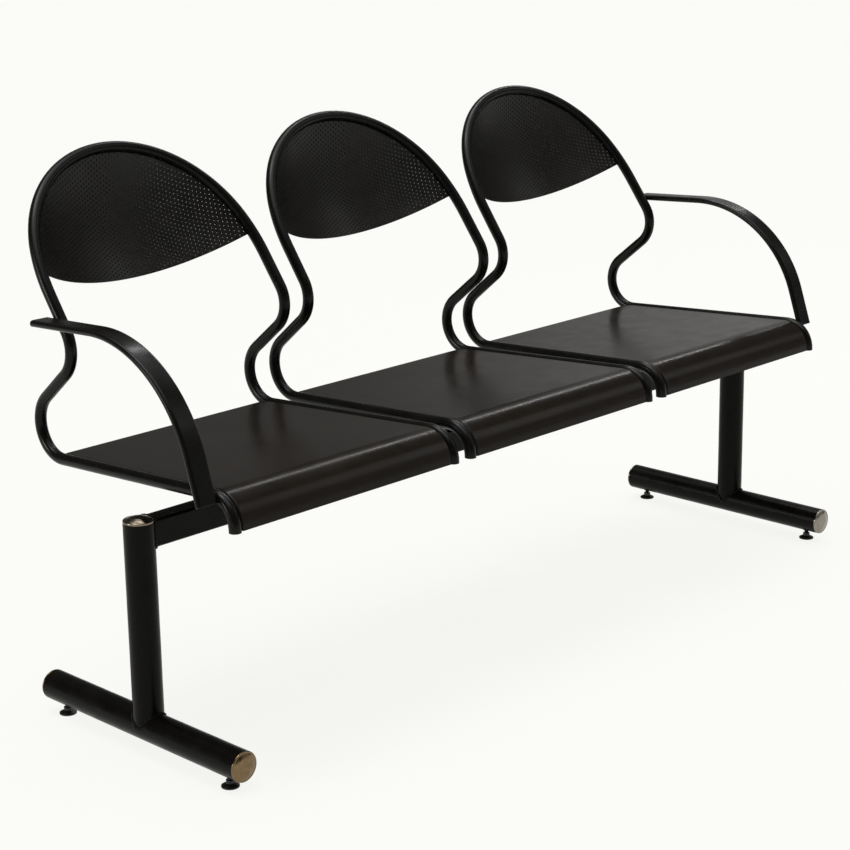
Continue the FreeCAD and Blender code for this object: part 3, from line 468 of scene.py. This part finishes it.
def postWeld(x):
    # the seam of two equal round tubes that cross squarely: height = foot axis + radius * |sin a|
    a = np.arange(weld["steps"]) * 2 * np.pi / weld["steps"]
    r = layout["legRadius"]
    path = np.stack([x + r * np.cos(a), layout["postPlace"] + r * np.sin(a),
                     layout["footAxis"] + r * np.sqrt(np.sin(a) ** 2 + weld["saddleEase"])], 1)
    post = np.stack([np.cos(a), np.sin(a), np.zeros_like(a)], 1)
    foot = np.stack([np.cos(a), np.zeros_like(a), np.abs(np.sin(a))], 1)
    return weldBead(path, post, foot)


def roundedRectangle(width, tall, corner, steps):
    # walks the outline at an even pace: four sides joined by quarter circles
    straight = np.array([tall - 2 * corner, width - 2 * corner] * 2)
    arc = corner * np.pi / 2
    ends = np.cumsum(np.stack([straight, np.full(4, arc)], 1).ravel())
    distance = np.linspace(0, ends[-1], steps, endpoint=False)
    stretch = np.searchsorted(ends, distance, side="right")
    walked = distance - np.concatenate([[0], ends])[stretch]
    side, onCorner = stretch // 2, stretch % 2 == 1
    angle = side * np.pi / 2 + np.where(onCorner, walked / corner, 0)
    normal = np.stack([np.cos(angle), np.sin(angle)], 1)
    forward = np.stack([-normal[:, 1], normal[:, 0]], 1)
    inner = [width / 2 - corner, tall / 2 - corner]
    sideStarts = np.array([[1, -1], [1, 1], [-1, 1], [-1, -1]]) * inner
    centres = np.array([[1, 1], [-1, 1], [-1, -1], [1, -1]]) * inner
    onSide = sideStarts[side] + normal * corner + forward * walked[:, None]
    return np.where(onCorner[:, None], centres[side] + normal * corner, onSide), normal


def beamWeld(x, sign):
    # the beam's outline laid on the post: x = post axis - sign * sqrt(r^2 - y^2)
    low, high = nodeBox("cross_beam")
    flat, normal = roundedRectangle(beam["depth"], beam["height"], beam["corner"], weld["steps"])
    r = layout["legRadius"]
    inward = np.sqrt(r ** 2 - flat[:, 0] ** 2)
    path = np.stack([x - sign * inward, layout["postPlace"] + flat[:, 0],
                     (low[2] + high[2]) / 2 + flat[:, 1]], 1)
    tube = np.stack([-sign * inward / r, flat[:, 0] / r, np.zeros(len(flat))], 1)
    bar = np.stack([np.zeros(len(flat)), normal[:, 0], normal[:, 1]], 1)
    return weldBead(path, tube, bar)


for end, sign in (("left", -1), ("right", 1)):
    x = sign * layout["postSpacing"] / 2
    for name, (points, faces) in (("PostWeld", postWeld(x)), ("BeamWeld", beamWeld(x, sign))):
        newPiece(f"{end}{name}", points, faces.tolist(), "leg_powder_coat", "bench", weld["sharpAngle"])
print("welds made")


# Chrome caps: a drawn shell with a rolled rim and a shallow dome, spun on the lathe

capShape = {
    "edge": 1.6, "rimShare": 0.25,  # the edge's own radius, and the dome's share that the rim takes up
    "spigotRadius": 22.0, "spigotLength": 14.0, "noseRadius": 20.0, "noseLength": 0.8,
    "flangeEdge": 0.5, "flangeMiddle": 0.15,
    "lipWidth": 0.5, "lipDrop": 0.1, "grooveStart": 1.0, "grooveEnd": 1.4, "grooveDepth": 0.35,
    "ringDepth": 0.03, "ringPitch": 3.6,  # the lathe's rings, far finer on the real cap
    "sides": 96, "edgeSteps": 10, "crownSteps": 60, "sharpAngle": 40.0,
}
# heights of rim and dome, and how late the dome falls away: 2 is an even bowl, more is a flat middle
caps = {
    "post_cap": {"rim": 1.6, "dome": 7.4, "fall": 2.0},
    "front_foot_cap": {"rim": 1.8, "dome": 4.2, "fall": 3.2},
    "rear_foot_cap": {"rim": 1.8, "dome": 4.2, "fall": 3.2},
}


def capProfile(rim, dome, fall):
    # (radius, height) up the spigot, over the flange and a quarter-round edge, through a groove, and over
    # the crown: height = groove + rise * (1 - share of the radius to the fall) + the lathe's fine rings
    r, edge = layout["legRadius"], capShape["edge"]
    shoulder = r - edge
    edgeBase = rim + dome * capShape["rimShare"] - edge
    rimTop = edgeBase + edge
    quarter = np.linspace(0, np.pi / 2, capShape["edgeSteps"])
    spigot, length = capShape["spigotRadius"], capShape["spigotLength"]
    profile = [(0, -length), (capShape["noseRadius"], -length), (spigot, capShape["noseLength"] - length),
               (spigot, 0.0), (r - capShape["flangeEdge"], 0.0),
               (r - capShape["flangeMiddle"], capShape["flangeMiddle"]), (r, capShape["flangeEdge"])]
    profile += list(zip(shoulder + edge * np.cos(quarter), edgeBase + edge * np.sin(quarter)))
    groove = rimTop - capShape["grooveDepth"]
    profile += [(shoulder - capShape["lipWidth"], rimTop - capShape["lipDrop"]),
                (shoulder - capShape["grooveStart"], groove)]
    crownRadius = shoulder - capShape["grooveEnd"]
    share = np.linspace(1, 0, capShape["crownSteps"])[1:-1]
    spun = capShape["ringDepth"] * np.sin(crownRadius * share / capShape["ringPitch"] * 2 * np.pi)
    rise = rim + dome - groove
    profile += list(zip(crownRadius * share, groove + rise * (1 - share ** fall) + spun))
    profile += [(0, rim + dome)]
    return np.array(profile)


def capShell(kind):
    # the profile turned about the cap's axis
    profile = capProfile(**caps[kind])
    t = np.arange(capShape["sides"]) * 2 * np.pi / capShape["sides"]
    radius, height = profile[1:-1, 0], profile[1:-1, 1]
    body = np.stack([radius[:, None] * np.cos(t), radius[:, None] * np.sin(t),
                     np.repeat(height[:, None], len(t), 1)], 2)
    return ringsClosed(body, profile[0, 1], profile[-1, 1])


def capPlaced(points, kind, node):
    # the dome's top goes to the top of the node's box, or to its front or rear face
    low, high = nodeBox(node)
    middle = (low + high) / 2
    tall = caps[kind]["rim"] + caps[kind]["dome"]
    x, y, z = points.T
    if kind == "post_cap":
        return np.stack([x, y, z + high[2] - tall], 1) + [middle[0], middle[1], 0]
    if kind == "front_foot_cap":
        return np.stack([x, -z + low[1] + tall, y], 1) + [middle[0], 0, middle[2]]
    return np.stack([-x, z + high[1] - tall, y], 1) + [middle[0], 0, middle[2]]


for end in ("left", "right"):
    for kind in caps:
        node = f"{end}_{kind}"
        points, faces = capShell(kind)
        name = end + kind.title().replace("_", "") + "Shell"
        shell = newPiece(name, capPlaced(points, kind, node), faces, "chrome_plate", "bench",
                         capShape["sharpAngle"])
        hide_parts(node)
print("caps made")


# Leveller screws: an M8 thread that winds about the stud

thread = {"radius": 4.0, "depth": 0.65, "pitch": 1.25, "tipShare": 1.4,
          "sides": 32, "stepsPerTurn": 12, "sharpAngle": 50.0}


def threadedStud(node):
    # radius = r - depth * |2 * frac(z / pitch - t / turn) - 1|, the tip drawn in over one pitch
    low, high = nodeBox(node)
    length = high[2] - low[2]
    z = np.linspace(0, length, int(length / thread["pitch"] * thread["stepsPerTurn"]))
    t = np.arange(thread["sides"]) * 2 * np.pi / thread["sides"]
    phase = (z[:, None] / thread["pitch"] - t / (2 * np.pi)) % 1
    radius = thread["radius"] - thread["depth"] * np.abs(2 * phase - 1)
    ease = np.clip((length - z) / thread["pitch"], 0, 1)[:, None]
    radius = np.minimum(radius, thread["radius"] - thread["depth"] * (1 - ease) * thread["tipShare"])
    body = np.stack([radius * np.cos(t), radius * np.sin(t), np.repeat(z[:, None], len(t), 1)], 2)
    points, faces = ringsClosed(body, 0, length)
    middle = (low + high) / 2
    return points + [middle[0], middle[1], low[2]], faces


for end in ("left", "right"):
    for place in ("front", "rear"):
        node = f"{end}_{place}_leveller_stud"
        points, faces = threadedStud(node)
        screw = newPiece(f"{end}{place.title()}Screw", points, faces, "zinc_plated_steel",
                         f"{end}_{place}_stud", thread["sharpAngle"])
        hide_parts(node)
print("leveller screws made")


# Camera, from the photograph: millimetres, degrees and, for the lens, the photograph's pixels

cameraPlace = {
    "x": -2552.75, "y": -2422.22, "z": 1338.67,
    "yaw": -45.4609, "pitch": -14.7338, "roll": -1.0155,
    "focalPixels": 2053.11, "centreX": 409.26, "centreY": 388.46,
    "imageSize": 850, "sensor": 36.0, "farthest": 100.0,
}


def placeCamera(c):
    # forward from yaw and pitch, right level with the floor, then both sides turned by the roll
    yaw, pitch, roll = (math.radians(c[k]) for k in ("yaw", "pitch", "roll"))
    forward = Vector((-math.sin(yaw) * math.cos(pitch), math.cos(yaw) * math.cos(pitch), math.sin(pitch)))
    right = Vector((math.cos(yaw), math.sin(yaw), 0))
    up = right.cross(forward)
    turnedRight = right * math.cos(roll) + up * math.sin(roll)
    turnedUp = up * math.cos(roll) - right * math.sin(roll)
    facing = Matrix((turnedRight, turnedUp, -forward)).transposed().to_4x4()
    data = bpy.data.cameras.new("photoCamera")
    data.sensor_fit = "HORIZONTAL"
    data.sensor_width = c["sensor"]
    data.lens = c["focalPixels"] / c["imageSize"] * c["sensor"]
    half = c["imageSize"] / 2
    data.shift_x = -(c["centreX"] - half) / c["imageSize"]
    data.shift_y = (c["centreY"] - half) / c["imageSize"]
    data.clip_end = c["farthest"]
    camera = bpy.data.objects.new("photoCamera", data)
    camera.matrix_world = Matrix.Translation(Vector((c["x"], c["y"], c["z"])) * mm) @ facing
    bpy.context.scene.collection.objects.link(camera)
    bpy.context.scene.camera = camera


placeCamera(cameraPlace)


# Floor, room light and lamps, in metres

room = {
    # how much of the floor is plain white, how bright the walls are, and the backdrop's share in reflections
    "floorColour": "#f9f9f6", "floorSize": 40.0, "paleness": 0.93, "walls": 0.06, "backdrop": 0.05,
    # azimuth and elevation in degrees, full inside the first radius, gone at the second, and strength
    "glows": {
        "skylight": (0.0, 90.0, 22.0, 40.0, 2.7),
        "ceilingLamp": (120.0, 80.0, 4.0, 13.0, 10.0),
        "leftWindow": (160.0, 15.0, 5.0, 13.0, 13.0),
        "rightWall": (25.0, 15.0, 4.0, 23.0, 0.52),
        "rearWall": (50.0, 18.0, 6.0, 30.0, 0.04),
        "frontWindow": (-36.0, 32.0, 5.0, 14.0, 1.6),
        "frontWall": (-50.0, 5.0, 8.0, 22.0, 0.35),
    },
}
lamps = {
    "ceilingTube": {"place": (2.1, 0.9, 2.5), "size": (3.0, 0.12), "power": 22.0, "aim": (2.1, -0.27, 0.44)},
}


def seenBy(tree, glossy):
    # 1 for what the camera sees, straight or through clear things, and the given share in reflections
    ray = addNode(tree, "ShaderNodeLightPath").outputs
    mirrored = addNode(tree, "ShaderNodeMath", {"operation": "MULTIPLY"}, {1: glossy},
                       {0: ray["Is Glossy Ray"]}).outputs["Value"]
    seen = addNode(tree, "ShaderNodeMath", {"operation": "MAXIMUM"}, None,
                   {0: ray["Is Camera Ray"], 1: ray["Is Transmission Ray"]}).outputs["Value"]
    return addNode(tree, "ShaderNodeMath", {"operation": "MAXIMUM"}, None,
                   {0: seen, 1: mirrored}).outputs["Value"]


def paleFloor():
    side = room["floorSize"]
    mesh = bpy.data.meshes.new("floor")
    mesh.from_pydata([(-side, -side, 0), (side, -side, 0), (side, side, 0), (-side, side, 0)], [],
                     [(0, 1, 2, 3)])
    floor = bpy.data.objects.new("floor", mesh)
    bpy.context.scene.collection.objects.link(floor)
    material = bpy.data.materials.new("pale floor")
    tree = emptyTree(material)
    colour = toLinear(room["floorColour"])
    lit = addNode(tree, "ShaderNodeBsdfPrincipled", None,
                  {"Base Color": colour, "Roughness": 1.0, "Specular IOR Level": 0.0}).outputs["BSDF"]
    white = addNode(tree, "ShaderNodeEmission", None, {"Color": colour}).outputs["Emission"]
    # the camera, mirrors and clear things see mostly the plain white, so the shadow stays faint
    share = addNode(tree, "ShaderNodeMath", {"operation": "MULTIPLY"}, {1: room["paleness"]},
                    {0: seenBy(tree, 1.0)}).outputs["Value"]
    surface = addNode(tree, "ShaderNodeMixShader", None, None, {0: share, 1: lit, 2: white}).outputs[0]
    addNode(tree, "ShaderNodeOutputMaterial", None, None, {"Surface": surface})
    mesh.materials.append(material)


def paleWorld():
    # dim walls with soft glows: each is 1 where the angle to its middle is small and eases to 0
    world = bpy.data.worlds.new("pale room")
    tree = emptyTree(world)
    bpy.context.scene.world = world
    way = addNode(tree, "ShaderNodeTexCoord").outputs["Generated"]
    level = None
    for azimuth, elevation, inner, outer, strength in room["glows"].values():
        a, e = math.radians(azimuth), math.radians(elevation)
        middle = (math.cos(a) * math.cos(e), math.sin(a) * math.cos(e), math.sin(e))
        near = addNode(tree, "ShaderNodeVectorMath", {"operation": "DOT_PRODUCT"}, {1: middle}, {0: way})
        glow = addNode(tree, "ShaderNodeMapRange", {"interpolation_type": "SMOOTHSTEP"},
                       {"From Min": math.cos(math.radians(outer)), "From Max": math.cos(math.radians(inner)),
                        "To Max": strength}, {"Value": near.outputs["Value"]}).outputs["Result"]
        values = {1: room["walls"]} if level is None else None
        links = {0: glow} if level is None else {0: glow, 1: level}
        level = addNode(tree, "ShaderNodeMath", {"operation": "ADD"}, values, links).outputs["Value"]
    sky = addNode(tree, "ShaderNodeBackground", None, {"Color": (1.0, 1.0, 1.0, 1.0)}, {"Strength": level})
    white = addNode(tree, "ShaderNodeBackground", None, {"Color": toLinear(room["floorColour"])})
    both = addNode(tree, "ShaderNodeMixShader", None, None,
                   {0: seenBy(tree, room["backdrop"]), 1: sky.outputs[0], 2: white.outputs[0]}).outputs[0]
    addNode(tree, "ShaderNodeOutputWorld", None, None, {"Surface": both})


def softLamp(name, settings):
    data = bpy.data.lights.new(name, "AREA")
    data.shape = "RECTANGLE"
    data.size, data.size_y = settings["size"]
    data.energy = settings["power"]
    lamp = bpy.data.objects.new(name, data)
    place = Vector(settings["place"])
    aim = Vector(settings["aim"]) - place
    lamp.matrix_world = Matrix.Translation(place) @ aim.to_track_quat("-Z", "Y").to_matrix().to_4x4()
    bpy.context.scene.collection.objects.link(lamp)


paleFloor()
paleWorld()
for name, settings in lamps.items():
    softLamp(name, settings)
bpy.context.scene.view_settings.view_transform = "Standard"
print("camera, floor and lamps set")
